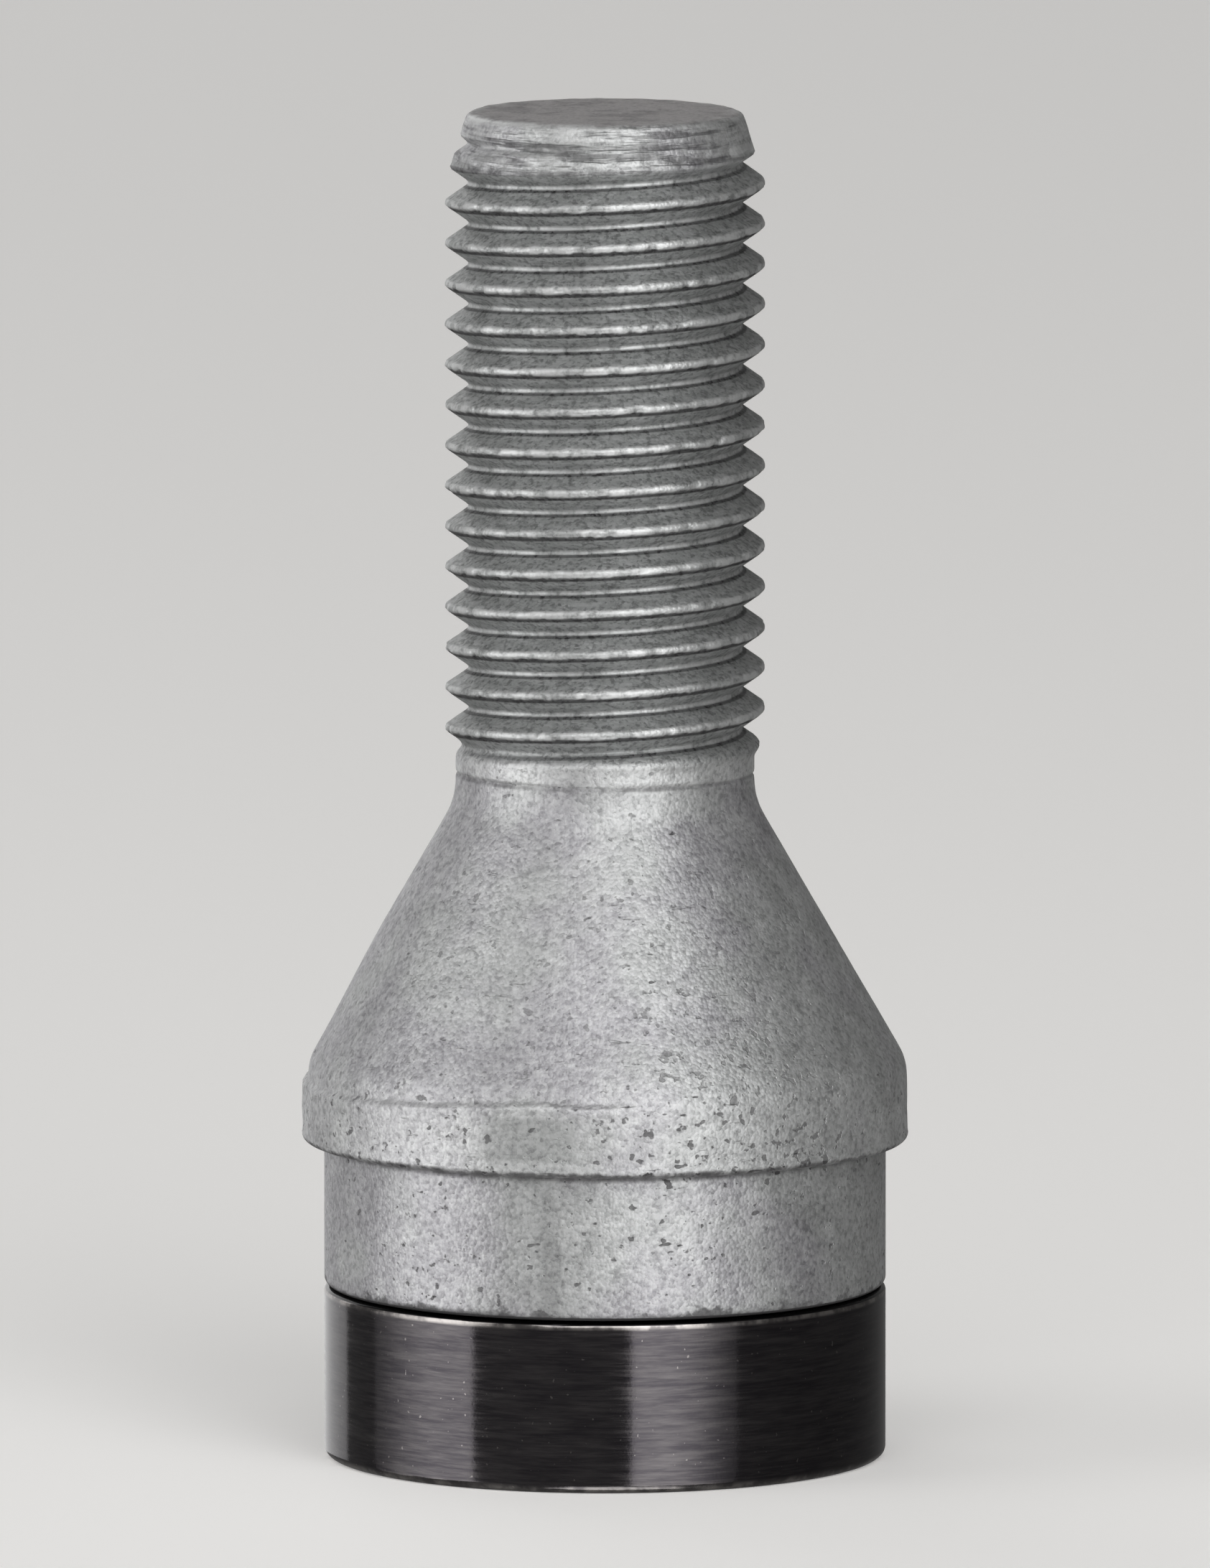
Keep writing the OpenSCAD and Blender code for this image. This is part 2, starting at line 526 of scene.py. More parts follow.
def forged(bolt, r, turn, z):
    """How far the forging lies inside its plain outline here."""
    head = bolt.head
    place = Vector((r * math.cos(turn), r * math.sin(turn), z)) / MM
    far = Vector((math.cos(turn), math.sin(turn), 0))

    # An uneven border, with more hammering on the flange below it than on the cone above it
    border = head.seat_z - 0.35 * MM + 0.45 * MM * noise.noise(far * 1.6 + Vector((3, 1, 0)))
    border += 0.12 * MM * noise.noise(far * 7)
    above = smooth(z, border, border + 1.2 * MM)
    flange = smooth(z, head.flange_z + 0.05 * MM, head.flange_z + 0.5 * MM) * (1 - above)
    cone = above * (1 - smooth(z, *EVEN_Z))
    wide = 0.5 + 0.5 * noise.noise(place / 1.5)
    close = 0.5 + 0.5 * noise.noise(place / 0.55 + Vector((5, 5, 5)))
    depth = flange * head.hammering * (0.65 * wide + 0.35 * close)
    depth += cone * head.hammering * (0.22 * wide + 0.13 * close)

    # The fold along the border, on one side of the bolt
    fold = smooth(math.cos(turn - FOLD_TURN) + 0.5 * noise.noise(far * 2.3), -0.1, 0.7)
    step = smooth(z, border - 0.10 * MM, border + 0.16 * MM)
    step *= 1 - smooth(z, border + 0.8 * MM, border + 6 * MM)
    depth += FOLD_DEPTH * fold * step

    # The turned line, which wanders a little
    line_z = head.neck_z + LINE_UP + 0.07 * MM * math.cos(turn + 2)
    line_z += 0.03 * MM * noise.noise(far * 4)
    away = (z - line_z) / LINE_W
    return depth + LINE_DEPTH * math.exp(-away * away)


def thread_tree():
    """Geometry Nodes for a helical thread that dies out in the neck and at the tip."""
    tree = bpy.data.node_groups.new("rolled_thread", "GeometryNodeTree")
    for name in (
        "Outside Radius", "Tooth Depth", "Pitch", "Start Height", "End Height", "Run-out",
        "Tip Height", "Tip Radius", "Tip Taper", "Neck Radius", "Nick Depth", "Phase", "Seed",
    ):
        tree.interface.new_socket(name=name, in_out="INPUT", socket_type="NodeSocketFloat")
    for name in ("Turns", "Steps", "Rows"):
        tree.interface.new_socket(name=name, in_out="INPUT", socket_type="NodeSocketInt")
    tree.interface.new_socket(name="Finish", in_out="INPUT", socket_type="NodeSocketMaterial")
    tree.interface.new_socket(name="Mesh", in_out="OUTPUT", socket_type="NodeSocketGeometry")
    nodes = Nodes(tree)
    given = nodes.add("NodeGroupInput").out
    steps = given("Steps")
    rows = given("Rows")
    sheet = nodes.add(
        "GeometryNodeMeshGrid",
        inputs={"Vertices X": given("Turns") * steps + 1, "Vertices Y": rows + 1},
    )

    # Column and row of each point, then its angle and its height on the helix
    index = nodes.add("GeometryNodeInputIndex")
    column = (index / (rows + 1)).floor()
    row = index - column * (rows + 1)
    share = column % steps / steps
    height = given("Start Height") + given("Pitch") * (column / steps - 1 + row / rows)
    height = height.most(given("Start Height")).least(given("End Height"))
    turned = share * (2 * math.pi)

    # Tooth from crest to root, with crests that the tip's taper and the run-out wear down
    phase = (height - given("Start Height")) / given("Pitch") - share + given("Phase") + 1
    off_crest = (phase.fract() * 2 - 1).absolute()
    slope = ((off_crest - CREST_SHARE) / FLANK_SHARE).most(0.0).least(1.0)
    tooth = given("Outside Radius") - given("Tooth Depth") * slope
    from_tip = (given("Tip Height") - height) / given("Tip Taper")
    taper = given("Tip Radius") + (given("Outside Radius") - given("Tip Radius")) * from_tip
    from_end = nodes.rise(given("End Height") - height, 0.0, TIP_BLEND)
    worn = tooth.least(taper)
    shaped = taper + (worn - taper) * from_end
    from_start = nodes.rise((height - given("Start Height")) / given("Run-out"), 0.0, 1.0)
    shaped = given("Neck Radius") + (shaped - given("Neck Radius")) * from_start

    # Nicks along the crests and a slight unevenness all over
    cosine = turned.math("COSINE", turned)
    sine = turned.math("SINE", turned)
    around = {0: cosine * shaped, 1: sine * shaped, 2: height + given("Seed")}
    place = nodes.add("ShaderNodeCombineXYZ", inputs=around)
    nicks = nodes.rise(nodes.clouds(place, 0.55 * MM, 1.0), 0.56, 0.72) * (1 - slope)
    waves = nodes.clouds(place, 1.6 * MM, 1.0) * 0.35
    ends = from_start * from_end
    radius = shaped - given("Nick Depth") * (nicks + waves) * ends
    spot = {0: cosine * radius, 1: sine * radius, 2: height}
    at = nodes.add("ShaderNodeCombineXYZ", inputs=spot)
    moved = nodes.add("GeometryNodeSetPosition", inputs={"Geometry": sheet, "Position": at})
    seam = {"Geometry": moved, "Distance": WELD}
    merged = nodes.add("GeometryNodeMergeByDistance", inputs=seam)
    real = nodes.add("GeometryNodeRealizeInstances", inputs={"Geometry": merged})
    coat = {"Geometry": real, "Material": given("Finish")}
    coated = nodes.add("GeometryNodeSetMaterial", inputs=coat)
    nodes.add("NodeGroupOutput", inputs={"Mesh": coated})
    return tree


def thread_mesh(bolt, material):
    """The thread as a plain mesh, made by its Geometry Nodes tree."""
    thread = bolt.thread
    head = bolt.head
    tree = thread_tree()
    values = {
        "Outside Radius": thread.major_r,
        "Tooth Depth": thread.depth,
        "Pitch": thread.pitch,
        "Start Height": thread.start_z,
        "End Height": thread.end_z,
        "Run-out": thread.run_out,
        "Tip Height": TIP_Z,
        "Tip Radius": head.tip_r,
        "Tip Taper": thread.tip_taper,
        "Neck Radius": head.neck_r,
        "Nick Depth": thread.nick,
        "Phase": thread.phase,
        "Seed": thread.seed,
        "Turns": math.ceil((thread.end_z - thread.start_z) / thread.pitch) + 1,
        "Steps": thread.steps,
        "Rows": thread.rows,
        "Finish": material,
    }
    holder = bpy.data.objects.new("thread_holder", bpy.data.meshes.new("thread_holder"))
    bpy.context.scene.collection.objects.link(holder)
    modifier = holder.modifiers.new("thread", "NODES")
    modifier.node_group = tree
    for socket in tree.interface.items_tree:
        if socket.in_out == "INPUT":
            modifier[socket.identifier] = values[socket.name]
    graph = bpy.context.evaluated_depsgraph_get()
    mesh = bpy.data.meshes.new_from_object(holder.evaluated_get(graph))
    holder.modifiers.remove(modifier)
    bpy.data.objects.remove(holder)
    return mesh


def finish_of(name):
    """A new material, and its tree cleared for nodes."""
    material = bpy.data.materials.new(name)
    material.use_nodes = True
    return material, Nodes(material.node_tree)


def whereabouts(nodes):
    """Object coordinates, the node that splits them, and the distance from the bolt's axis."""
    place = nodes.add("ShaderNodeTexCoord").out("Object")
    axes = nodes.add("ShaderNodeSeparateXYZ", inputs={0: place})
    flat = nodes.stretched(place, (1, 1, 0))
    r = nodes.add("ShaderNodeVectorMath", {"operation": "LENGTH"}, {0: flat}).out("Value")
    return place, axes, r


def surface(nodes, base, rough, metal, height, relief):
    """Principled shader on what changes over the surface, and a bump of this relief."""
    bump = {"Height": height, "Strength": 1.0, "Distance": relief}
    inputs = {"Base Color": base, "Roughness": rough, "Metallic": metal}
    inputs["Normal"] = nodes.add("ShaderNodeBump", inputs=bump)
    shader = nodes.add("ShaderNodeBsdfPrincipled", inputs=inputs)
    nodes.add("ShaderNodeOutputMaterial", inputs={"Surface": shader})


def zinc_flake(bolt):
    """Zinc flake coat on a cold forging: mottled, grained, specked, rubbed on the thread's crests,
    with painted shade in its creases and under the crests, and painted highlights on the thread and
    the tip.
    """
    colours = bolt.colours
    head = bolt.head
    thread = bolt.thread
    material, nodes = finish_of("zinc_flake")
    place, axes, r = whereabouts(nodes)
    x = axes.out("X")
    y = axes.out("Y")
    z = axes.out("Z")

    # Where each part of the forging is
    on_thread = nodes.rise(z, thread.start_z, thread.start_z + 0.8 * MM)
    on_face = nodes.rise(z, TIP_Z - 0.10 * MM, TIP_Z - 0.02 * MM)
    on_flange = nodes.rise(z, head.flange_z - 0.05 * MM, head.flange_z + 0.1 * MM)
    on_cone = nodes.rise(z, head.seat_z - 1.0 * MM, head.seat_z + 0.6 * MM)
    on_neck = nodes.rise(z, head.neck_z - 3.0 * MM, head.neck_z + 0.5 * MM)
    in_socket = nodes.fall(z, head.band_z - 0.3 * MM, head.band_z)
    outside = nodes.rise(r, 8.6 * MM, 9.4 * MM)
    ahead = nodes.fall(y, -2.0 * MM, 0.0)
    crest = nodes.rise(r, *CREST_RUB_AND_HIGHLIGHT) * on_thread
    root = nodes.fall(r, *ROOT_HIGHLIGHT) * on_thread

    # Place between one root of the thread, at 0, and the next, with the crest at 0.5
    turned = y.math("ARCTAN2", y, x) / (2 * math.pi)
    tooth = ((z - thread.start_z) / thread.pitch - turned + thread.phase + 2).fract()
    # Painted shade: dark lines just under each crest and each root
    shade_under_crest = nodes.between(tooth, 0.34, 0.415, 0.045)
    shade_under_root = nodes.between(tooth, 0.89, 0.93, 0.03)
    painted_shade_lines = (shade_under_crest + 0.8 * shade_under_root) * on_thread

    # Patterns from wide patches down to the grain
    patches = nodes.clouds(place, 4.2 * MM, 3.0)
    clusters = nodes.clouds(place, 2.6 * MM, 2.0)
    blotch = nodes.clouds(place, 1.3 * MM, 4.0, 0.6)
    cells = nodes.add(
        "ShaderNodeTexVoronoi", {"feature": "F1"}, {"Vector": place, "Scale": 1 / (0.13 * MM)}
    )
    sand = nodes.add("ShaderNodeSeparateColor", inputs={0: cells.out("Color")})
    grain = 0.22 * sand + 0.78 * nodes.clouds(place, 0.24 * MM, 3.0, 0.7)

    # Specks, larger marks and scratches, with more of them in the pitted place
    pitted = nodes.near(place, PITTED_AT, *PITTED_REACH)
    flecks = nodes.streaks(place, 1.2, 0.38 * MM) + 0.05 * (sand - 0.5)
    flecks = flecks + 0.22 * (clusters - 0.5) + 0.055 * pitted
    flecks = flecks - 0.03 * (1 - on_flange) - 0.05 * on_neck
    specks = nodes.rise(flecks, 0.645, 0.71) * (1 - on_thread) * (0.62 + 0.38 * (1 - on_cone))
    marks = nodes.streaks(place, 2.2, 0.95 * MM) + 0.03 * pitted
    marks = nodes.rise(marks, 0.725, 0.765) * (1 - on_thread)
    strokes = nodes.streaks(place, 9, 1.5 * MM, 3.0, 0.65)
    scratches = nodes.rise(strokes, 0.66, 0.74) * on_flange * (1 - on_neck)

    # Painted shade in the crease under the flange, along the seam and in its gap, and in the turned
    # line
    ragged = nodes.rise(nodes.clouds(place, 0.7 * MM, 3.0, 0.65), 0.36, 0.6)
    spill = nodes.rise(nodes.clouds(place, 1.0 * MM, 4.0, 0.7), 0.42, 0.72)
    over_crease = z - 0.10 * MM * ragged - head.flange_z
    crease = nodes.rise(z, head.flange_z - 0.32 * MM, head.flange_z - 0.08 * MM)
    crease = crease * nodes.fall(over_crease, 0.04 * MM, 0.20 * MM)
    over_seam = z - 0.42 * MM * spill - head.band_z
    seam = outside * nodes.fall(over_seam, 0.04 * MM, 0.30 * MM)
    gap = outside * nodes.fall(z, head.band_z + 0.09 * MM, head.band_z + 0.15 * MM)
    off_line = (z - (head.neck_z + LINE_UP)).absolute()
    line = nodes.fall(off_line, 0.02 * MM, 0.14 * MM)
    painted_shade = crease * (0.65 + 0.35 * ragged) + seam * (0.62 + 0.30 * ragged)
    painted_shade = painted_shade + gap + line * (0.3 + 0.4 * ragged)

    # Dark rings of painted shade and a band of painted highlight round the tip's taper
    at_tip = nodes.rise(z, TIP_Z - 2.3 * MM, TIP_Z - 1.3 * MM) * (1 - on_face)
    rings = nodes.streaks(place, 13, 4.2 * MM, 3.0, 0.6)
    tip_shade_rings = at_tip * nodes.rise(rings, 0.48, 0.60)
    tip_highlight_band = nodes.rise(nodes.streaks(place, 2.4, 1.7 * MM, 3.0, 0.6), 0.46, 0.62)
    tip_highlight_band = at_tip * (0.45 * tip_highlight_band + 0.55 * nodes.fall(rings, 0.36, 0.48))

    # Colour of the coat, pale on the flange's edge and the land, and paler on the flange's left
    # side, a painted highlight
    cool = nodes.rise(patches - 12 * x, 0.42, 0.62)
    base = nodes.mix(cool, rgba(colours.zinc), rgba(colours.zinc_cool))
    # Painted highlight: the flange's edge paler towards the left
    lip = on_flange * (1 - on_cone) * (0.34 - 0.18 * nodes.rise(x, -6.0 * MM, 0.0))
    land = nodes.between(z, head.neck_z + 1.10 * MM, head.neck_z + 1.75 * MM, 0.2 * MM)
    pale = nodes.rise(blotch, 0.48, 0.72) * 0.34 + nodes.rise(grain, 0.42, 0.74) * 0.46 + lip
    base = nodes.mix(pale + land * 0.45, base, rgba(colours.zinc_rubbed_and_highlit))

    # The dull patch, the drip, the pores of the coat, and what shows through it, with the painted
    # shade
    wobble = 0.5 * MM * (blotch - 0.5)
    dull = nodes.between(x + wobble, *DULL_X, 0.4 * MM)
    dull = dull * nodes.between(z + wobble, *DULL_Z, 0.25 * MM) * ahead
    drip = nodes.between(x + 2 * wobble, *DRIP_X, 0.35 * MM) * ahead * outside
    drip = drip * nodes.fall(z, *DRIP_FADE)
    base = nodes.mix(dull * 0.42, base, rgba(colours.flank))
    pores = nodes.fall(grain, 0.24, 0.54) * 0.40 + nodes.fall(blotch, 0.3, 0.5) * 0.14
    base = nodes.mix(pores + drip * 0.22, base, rgba(colours.soot_and_shade))
    flaws_and_shade = (specks * 0.72 + marks * 0.75 + scratches * 0.3 + painted_shade * 0.85).least(0.97)
    base = nodes.mix(flaws_and_shade, base, rgba(colours.soot_and_shade))

    # Oiled flanks with lines of painted shade under the crests and roots, then crests and roots
    # painted bright in broken lines: rubbed coat with a painted highlight on the crests, a painted
    # highlight in the roots
    breaks = nodes.rise(nodes.clouds(place, 0.85 * MM, 3.0, 0.65), 0.40, 0.58)
    rolled = nodes.streaks(place, 7, 1.1 * MM, 3.0, 0.65)
    film = nodes.rise(grain, 0.40, 0.62) * 0.60 + nodes.rise(rolled, 0.45, 0.62) * 0.55
    flank_tone = nodes.mix(film, rgba(colours.flank), rgba(colours.zinc))
    # Painted shade lines under the crests and roots, with dark grain
    shade_and_dark_grain = painted_shade_lines * 0.85 + nodes.fall(grain, 0.3, 0.50) * 0.42
    flank_tone = nodes.mix(shade_and_dark_grain, flank_tone, rgba(colours.soot_and_shade))
    base = nodes.mix(on_thread * (1 - at_tip * 0.9), base, flank_tone)
    # Painted shade: the dark rings on the tip's taper
    base = nodes.mix(tip_shade_rings * 0.62, base, rgba(colours.soot_and_shade))
    # Painted highlight on the crests, partly rubbed coat, in the roots and on the tip's band
    bright = crest * (0.10 + 0.66 * breaks) + root * (0.06 + 0.50 * breaks) + tip_highlight_band * 0.8
    bright = bright.least(1.0)
    base = nodes.mix(bright, base, rgba(colours.zinc_rubbed_and_highlit))

    # The sheared face of the tip, stained, with a rubbed edge
    edge = nodes.rise(r, head.tip_r - 0.75 * MM, head.tip_r - 0.1 * MM) * breaks
    stain = nodes.fall(grain, 0.3, 0.55) * 0.25 + nodes.fall(blotch, 0.40, 0.55) * 0.30
    sheared = nodes.mix(stain, rgba(colours.tip), rgba(colours.soot_and_shade))
    base = nodes.mix(on_face * (1 - edge * 0.6), base, sheared)

    # Duller where the coat is broken, and a relief that follows the same patterns
    rough = 0.43 + 0.12 * blotch + 0.03 * on_flange - 0.04 * bright + 0.12 * flaws_and_shade + 0.08 * on_face
    metal = 0.84 - 0.45 * flaws_and_shade - 0.4 * on_face - 0.30 * in_socket
    relief = blotch * 0.3 - cells * 0.28 + grain * 0.30 - specks * 0.6 - marks * 1.2
    relief = relief - scratches * 0.5 - tip_shade_rings * 0.8
    surface(nodes, base, rough, metal.most(0.2), relief, COAT_RELIEF)
    return material


def black_chrome(bolt):
    """Dark chrome on a turned ring: fine turning lines, painted glints, and rubbed edges with a
    painted highlight.
    """
    colours = bolt.colours
    material, nodes = finish_of("black_chrome")
    place, axes, r = whereabouts(nodes)
    z = axes.out("Z")
    fine = nodes.streaks(place, 15, 1.7 * MM, 3.0, 0.75)
    coarse = nodes.streaks(place, 9, 3.4 * MM, 2.0, 0.6)
    lines = nodes.rise(fine, 0.35, 0.68) * 0.6 + nodes.rise(coarse, 0.4, 0.65) * 0.4
    grain = nodes.clouds(place, 0.13 * MM, 1.0)
    breaks = nodes.rise(nodes.clouds(place, 0.9 * MM, 3.0, 0.6), 0.38, 0.62)
    haze = nodes.clouds(place, 3.8 * MM, 2.0)
    glints = nodes.rise(nodes.clouds(place, 0.13 * MM, 0.0), 0.80, 0.85)

    # Both edges of the outside painted bright in broken lines, as rubbed chrome with a painted
    # highlight, and the shade in the seam
    outer = nodes.rise(r, HEAD_R - 0.30 * MM, HEAD_R - 0.08 * MM)
    low_edge = nodes.fall(z, 0.08 * MM, 0.36 * MM)
    high_edge = nodes.rise(z, COLLAR_H - 0.32 * MM, COLLAR_H - 0.18 * MM)
    high_edge = high_edge * nodes.fall(z, COLLAR_H - 0.12 * MM, COLLAR_H - 0.09 * MM)
    rubbed_and_highlit = (low_edge + high_edge).least(1.0) * outer * (0.25 + 0.75 * breaks)
    shade = nodes.rise(z, COLLAR_H - 0.11 * MM, COLLAR_H - 0.07 * MM)

    tone = nodes.mix(lines * 0.12, rgba(colours.chrome), rgba(colours.chrome_rubbed_and_highlit))
    # Painted highlight: the glints and the bright edges
    bright = (glints * 0.3 + rubbed_and_highlit * 0.85).least(1.0)
    tone = nodes.mix(bright, tone, rgba(colours.chrome_rubbed_and_highlit))
    tone = nodes.mix(shade, tone, rgba(SEAM_SHADE))
    rough = 0.06 + 0.08 * lines + 0.05 * haze + 0.12 * rubbed_and_highlit
    relief = fine * 0.6 + coarse * 0.25 + grain * 0.25
    surface(nodes, tone, rough, 1.0, relief, CHROME_RELIEF)
    return material


class WHEELBOLT_OT_bolt(bpy.types.Operator):
    """Make the bolt: key boss, head, cone seat, neck, rolled thread and tip in one closed mesh"""

    bl_idname = "wheelbolt.bolt"
    bl_label = "Make Bolt"

    def execute(self, context):
        bolt = context.scene.wheel_bolt
        material = zinc_flake(bolt)
        steps = bolt.thread.steps
        boss_r = bolt.key.boss_r
        wave_h = bolt.key.wave_h

        def place(row, turn):
            added, share, cut, z = row
            r = added + share * min(boss_r + wave_h * key_wave(turn), cut)
            if z > bolt.head.flange_z:
                r -= forged(bolt, r, turn, z)
            return r * math.cos(turn), r * math.sin(turn), z

        def tip_place(point, turn):
            r, z = point
            inside = smooth(z, bolt.thread.end_z, TIP_Z)
            spot = Vector((r * math.cos(turn), r * math.sin(turn), z)) / TIP_DENT_SIZE
            dent = inside * TIP_DENT * (0.5 + 0.5 * noise.noise(spot))
            return (r - dent) * math.cos(turn), (r - dent) * math.sin(turn), z - dent * 0.6

        rows = boss_rows(bolt) + head_rows(bolt)
        head = skin("head", rows, steps, place, first_pole=(0, 0, bolt.key.boss_drop))
        tip_rows = spaced(tip_line(bolt), TIP_GAP)[:-1]
        tip = skin("tip", tip_rows, steps, tip_place, last_pole=(0, 0, TIP_Z - 0.02 * MM))
        thread = thread_mesh(bolt, material)
        piece = joined("locking_bolt", [head, thread, tip], material)
        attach(piece, "bolt")
        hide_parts("bolt")
        return {"FINISHED"}


class WHEELBOLT_OT_collar(bpy.types.Operator):
    """Make the dark collar that spins on the head"""

    bl_idname = "wheelbolt.collar"
    bl_label = "Make Collar"

    def execute(self, context):
        bolt = context.scene.wheel_bolt
        collar = bolt.collar
        corners = [
            (collar.mouth_r, 0, 0.5 * collar.end_edge),
            (HEAD_R, 0, collar.end_edge),
            (HEAD_R, COLLAR_H, collar.seam_edge),
            (collar.lip_r, COLLAR_H, 0.05 * MM),
            (collar.lip_r, collar.lip_z, 0.05 * MM),
            (collar.mouth_r, collar.lip_z, 0),
        ]
        line = rounded(corners, ring=True)
        rows = spaced(line + line[:1], COLLAR_GAP)[:-1]

        def place(point, turn):
            r, z = point
            edge = 0
            if r > HEAD_R - 1 * MM:
                edge = smooth(z, 0.45 * MM, 0.05 * MM)
                edge += smooth(z, COLLAR_H - 0.3 * MM, COLLAR_H - 0.05 * MM)
            spot = Vector((math.cos(turn), math.sin(turn), z / MM)) * 9
            dent = edge * COLLAR_DENT * max(0.0, noise.noise(spot))
            return (r - dent) * math.cos(turn), (r - dent) * math.sin(turn), z

        ring = skin("ring", rows, collar.steps, place, ring=True)
        piece = joined("spin_collar", [ring], black_chrome(bolt))
        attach(piece, "collar")
        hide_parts("collar")
        return {"FINISHED"}


class WHEELBOLT_OT_stage(bpy.types.Operator):
    """Make the pale floor, the tall soft lamps, the room and the camera"""

    bl_idname = "wheelbolt.stage"
    bl_label = "Make Stage"

    def execute(self, context):
        bolt = context.scene.wheel_bolt
        studio = bolt.studio
        self.floor(bolt)
        self.room(context, studio)

        # Tall lamps: degrees round from the front, distance, width, lowest and highest point, fade
        for name, watts, towards, away, width, low, high, fade in (
            ("left_lamp", studio.left_lamp, -82, 0.5, 0.50, -0.25, 0.45, -1),
            ("right_lamp", studio.right_lamp, 33, 0.5, 0.41, -0.25, 0.55, 1),
            ("back_lamp", studio.back_lamp, -155, 0.9, 0.75, -0.18, 1.70, 0),
        ):
            a = math.radians(towards)
            lamp = self.lamp(context, name, watts, width, high - low, fade)
            lamp.location = (away * math.sin(a), -away * math.cos(a), (low + high) / 2)
            lamp.rotation_euler = (math.pi / 2, 0, a)

        # Square lamps that face the bolt: the length of a side, and the place
        for name, watts, side, place in (
            ("top_lamp", studio.top_lamp, 0.9, (0.05, -0.70, 0.62)),
            ("low_lamp", studio.low_lamp, 0.5, (0.05, -0.45, -0.55)),
        ):
            lamp = self.lamp(context, name, watts, side, side)
            lamp.location = place
            lamp.rotation_euler = lamp.location.to_track_quat("Z", "Y").to_euler()
        self.camera(context, studio)
        return {"FINISHED"}

    def floor(self, bolt):
        """A round floor that shows from above only, and lets light through from below."""
        bm = bmesh.new()
        bmesh.ops.create_circle(bm, cap_ends=True, segments=96, radius=bolt.studio.floor_r)
        mesh = bpy.data.meshes.new("floor")
        bm.to_mesh(mesh)
        bm.free()
        floor = bpy.data.objects.new("floor", mesh)
        bpy.context.scene.collection.objects.link(floor)
        material, nodes = finish_of("pale_floor")
        seen = nodes.add("ShaderNodeLightPath").out("Is Camera Ray")
        inputs = {
            "Base Color": rgba(bolt.colours.floor),
            "Roughness": 0.9,
            "Specular IOR Level": 0.1,
            "Emission Color": WARM_WHITE,
            "Emission Strength": seen * FLOOR_GLOW,
        }
        paint = nodes.add("ShaderNodeBsdfPrincipled", inputs=inputs)
        clear = nodes.add("ShaderNodeBsdfTransparent")
        under = nodes.add("ShaderNodeNewGeometry").out("Backfacing")
        both = nodes.add("ShaderNodeMixShader", inputs={0: under, 1: paint, 2: clear})
        nodes.add("ShaderNodeOutputMaterial", inputs={"Surface": both})
        mesh.materials.append(material)
        floor.visible_glossy = False
        floor.visible_shadow = False

    def room(self, context, studio):
        """Pale to the camera, and a dimmer room to everything else, which the metal mirrors."""
        world = bpy.data.worlds.new("room")
        world.use_nodes = True
        nodes = Nodes(world.node_tree)
        path = nodes.add("ShaderNodeLightPath")
        seen = path.out("Is Camera Ray") + path.out("Is Transmission Ray")
        seen = seen + 0.05 * path.out("Is Glossy Ray")
        towards = nodes.add("ShaderNodeTexCoord").out("Generated")
        axes = nodes.add("ShaderNodeSeparateXYZ", inputs={0: towards})
        room = studio.room * (1 - 0.45 * axes.out("Y") - 0.38 * axes.out("X"))
        strength = room + seen.least(1.0) * (ROOM_SEEN - room)
        sky = nodes.add("ShaderNodeBackground", inputs={"Color": WARM_WHITE, "Strength": strength})
        nodes.add("ShaderNodeOutputWorld", inputs={"Surface": sky})
        context.scene.world = world

    def lamp(self, context, name, watts, width, height, fade=0):
        """An area lamp that fades to its right side where fade is 1, or to its left at -1."""
        light = bpy.data.lights.new(name, "AREA")
        light.shape = "RECTANGLE"
        light.size = width
        light.size_y = height
        light.energy = watts
        if fade:
            light.use_nodes = True
            nodes = Nodes(light.node_tree)
            spot = nodes.add("ShaderNodeNewGeometry").out("Parametric")
            across = nodes.add("ShaderNodeSeparateXYZ", inputs={0: spot}).out("X")
            if fade < 0:
                across = 1 - across
            strength = nodes.rise(across, FADE_START, 1.0, 1.0, FADE_LEFT)
            glow = nodes.add("ShaderNodeEmission", inputs={"Strength": strength})
            nodes.add("ShaderNodeOutputLight", inputs={"Surface": glow})
        lamp = bpy.data.objects.new(name, light)
        lamp.visible_camera = False
        context.scene.collection.objects.link(lamp)
        return lamp

    def camera(self, context, studio):
        """A long camera that looks down a little at the middle of the bolt."""
        data = bpy.data.cameras.new("camera")
        data.lens = data.sensor_width * studio.distance / studio.frame_h
        data.clip_end = 10
        camera = bpy.data.objects.new("camera", data)
        middle = Vector((0, 0, TIP_Z / 2))
        tilt = studio.elevation
        back = Vector((0, -math.cos(tilt), math.sin(tilt)))
        camera.location = middle + back * studio.distance
        camera.rotation_euler = (math.pi / 2 - tilt, 0, 0)
        context.scene.collection.objects.link(camera)
        context.scene.camera = camera
        context.scene.view_settings.view_transform = "Standard"


class WHEELBOLT_PT_panel(bpy.types.Panel):
    """Sizes, colours and the operators that make each piece"""

    bl_idname = "WHEELBOLT_PT_panel"
    bl_label = "Wheel Bolt"
    bl_space_type = "VIEW_3D"
    bl_region_type = "UI"
    bl_category = "Wheel Bolt"

    def draw(self, context):
        bolt = context.scene.wheel_bolt
        for group in (bolt.thread, bolt.head, bolt.key, bolt.collar, bolt.colours, bolt.studio):
            box = self.layout.box()
            for name in group.__annotations__:
                box.prop(group, name)
        for operator in OPERATORS:
            self.layout.operator(operator.bl_idname)


OPERATORS = (WHEELBOLT_OT_bolt, WHEELBOLT_OT_collar, WHEELBOLT_OT_stage)
CLASSES = (
    ThreadSizes,
    HeadSizes,
    KeySizes,
    CollarSizes,
    FinishColours,
    StudioSettings,
    WheelBolt,
    *OPERATORS,
    WHEELBOLT_PT_panel,
)


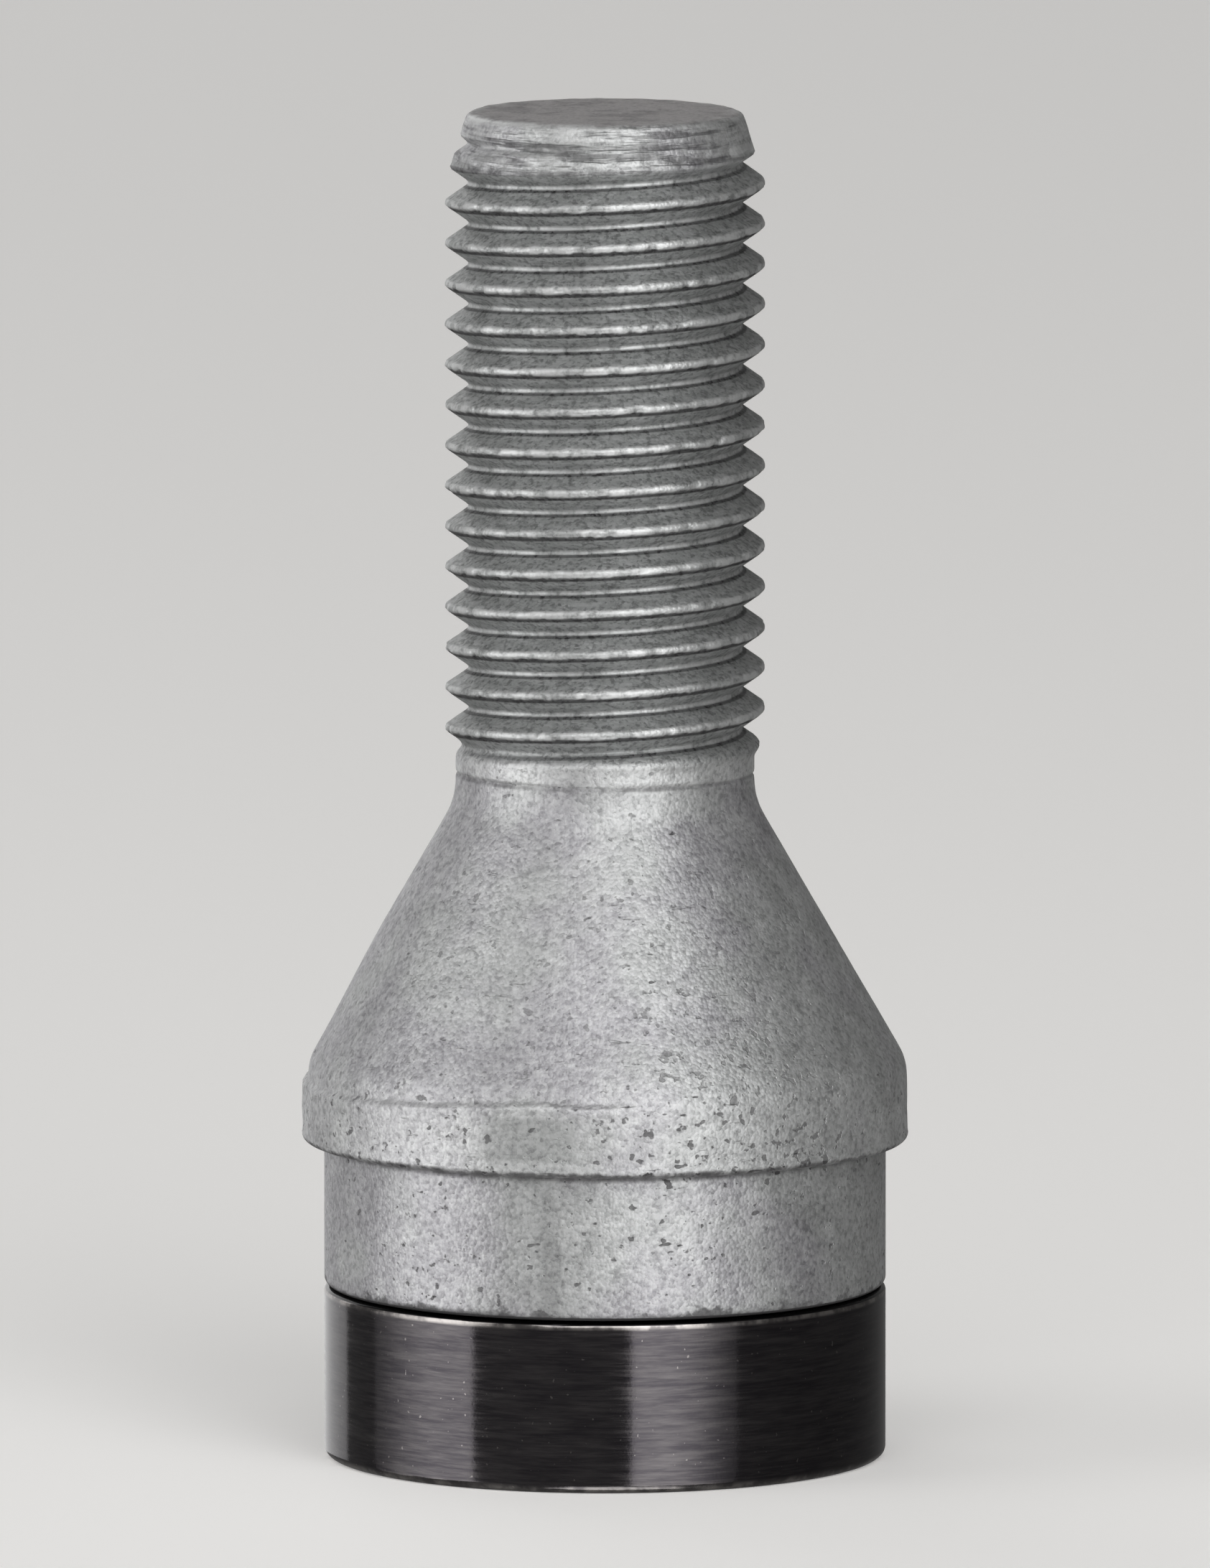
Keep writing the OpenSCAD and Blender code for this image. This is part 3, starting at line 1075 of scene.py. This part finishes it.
def register():
    for cls in CLASSES:
        bpy.utils.register_class(cls)
    bpy.types.Scene.wheel_bolt = PointerProperty(type=WheelBolt)


def unregister():
    del bpy.types.Scene.wheel_bolt
    for cls in reversed(CLASSES):
        bpy.utils.unregister_class(cls)


def main():
    register()
    bpy.ops.wheelbolt.bolt()
    bpy.ops.wheelbolt.collar()
    bpy.ops.wheelbolt.stage()


if __name__ == "__main__":
    main()
